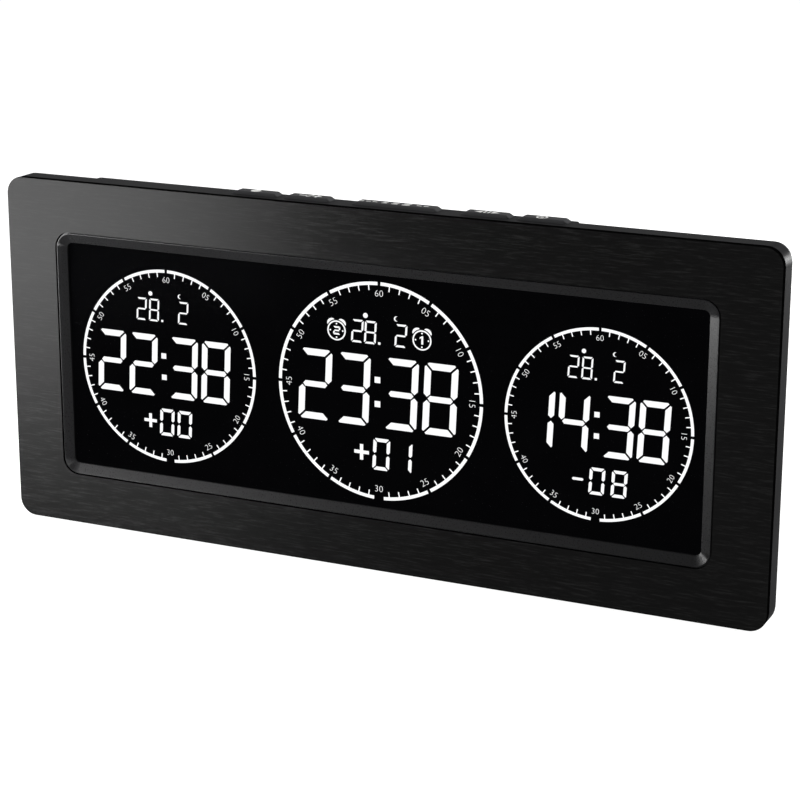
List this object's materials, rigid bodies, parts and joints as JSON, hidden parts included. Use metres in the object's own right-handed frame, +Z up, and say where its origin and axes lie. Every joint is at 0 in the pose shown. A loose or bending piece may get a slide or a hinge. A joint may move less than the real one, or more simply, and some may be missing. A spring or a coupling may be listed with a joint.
{
  "type": "digital alarm clock",
  "caption": "Wide slab-shaped digital alarm clock with a brushed dark face plate, a recessed black display window, push keys on the top edge and a fold-out stand at the back.",
  "frame": {"origin": "bottom centre of the bounding box, on the plane of the rubber feet", "axes": "+X to the right across the face, +Y from the face towards the back, +Z up"},
  "size_m": [0.36, 0.028, 0.1621],
  "materials": {
    "face_plate": "black anodised, brushed along its length",
    "front_case": "satin moulded black",
    "display_window": "clear acrylic over a black display",
    "lcd_glass": "polished",
    "light_guide": "clear acrylic",
    "led_bar": "plain",
    "white_plastic": "plain",
    "flex": "plain",
    "board": "lacquered",
    "epoxy": "plain",
    "steel": "nickel plated",
    "dark_steel": "blackened",
    "rear_cover": "fine moulded texture",
    "key": "satin moulded black",
    "cell": "printed sleeve, plain",
    "rubber": "matte"
  },
  "bodies": {
    "clock": {"face_plate": "face_plate", "front_case": "front_case", "display_window": "display_window", "lcd_front_glass": "lcd_glass", "lcd_rear_glass": "lcd_glass", "light_guide": "light_guide", "led_bar_left": "led_bar", "led_bar_right": "led_bar", "reflector_sheet": "white_plastic", "display_carrier": "white_plastic", "display_flex": "flex", "main_board": "board", "key_board": "board", "controller_dome": "epoxy", "crystal_can": "steel", "supply_capacitor": "epoxy", "buzzer": "epoxy", "power_socket": "epoxy", "push_switch_1": "epoxy", "push_switch_2": "epoxy", "push_switch_3": "epoxy", "push_switch_4": "epoxy", "push_switch_5": "epoxy", "key_board_screw_1": "steel", "key_board_screw_2": "steel", "board_screw_1": "steel", "board_screw_2": "steel", "board_screw_3": "steel", "board_screw_4": "steel", "case_screw_1": "dark_steel", "case_screw_2": "dark_steel", "case_screw_3": "dark_steel", "case_screw_4": "dark_steel", "case_screw_5": "dark_steel", "case_screw_6": "dark_steel", "rear_cover": "rear_cover", "battery_cell_1": "cell", "battery_cell_2": "cell", "battery_cell_3": "cell", "battery_spring_1": "steel", "battery_spring_2": "steel", "battery_spring_3": "steel", "contact_left_single": "steel", "contact_left_pair": "steel", "contact_right_pair": "steel", "contact_right_single": "steel", "stand_pin": "steel", "foot_pad_1": "rubber", "foot_pad_2": "rubber", "foot_pad_3": "rubber", "foot_pad_4": "rubber"},
    "outer_left_key_body": {"outer_left_key": "key"},
    "inner_left_key_body": {"inner_left_key": "key"},
    "snooze_bar_body": {"snooze_bar": "key"},
    "inner_right_key_body": {"inner_right_key": "key"},
    "outer_right_key_body": {"outer_right_key": "key"},
    "stand": {"stand_leg": "rear_cover"},
    "door": {"battery_door": "rear_cover"}
  },
  "joints": [
    {"name": "outer_left_key_press", "type": "slide", "parent": "clock", "child": "outer_left_key_body", "axis": [0, 0, -1], "range_m": [0, 0.0008], "stiffness_N_per_m": 600, "springref_m": -0.0004},
    {"name": "inner_left_key_press", "type": "slide", "parent": "clock", "child": "inner_left_key_body", "axis": [0, 0, -1], "range_m": [0, 0.0008], "stiffness_N_per_m": 600, "springref_m": -0.0004},
    {"name": "snooze_bar_press", "type": "slide", "parent": "clock", "child": "snooze_bar_body", "axis": [0, 0, -1], "range_m": [0, 0.0008], "stiffness_N_per_m": 600, "springref_m": -0.0004},
    {"name": "inner_right_key_press", "type": "slide", "parent": "clock", "child": "inner_right_key_body", "axis": [0, 0, -1], "range_m": [0, 0.0008], "stiffness_N_per_m": 600, "springref_m": -0.0004},
    {"name": "outer_right_key_press", "type": "slide", "parent": "clock", "child": "outer_right_key_body", "axis": [0, 0, -1], "range_m": [0, 0.0008], "stiffness_N_per_m": 600, "springref_m": -0.0004},
    {"name": "stand_hinge", "type": "hinge", "parent": "clock", "child": "stand", "pos_m": [0, 0.0114, 0.113], "axis": [1, 0, 0], "range_deg": [0, 40]},
    {"name": "battery_door_lift", "type": "slide", "parent": "clock", "child": "door", "axis": [0, 1, 0], "range_m": [0, 0.02]}
  ]
}
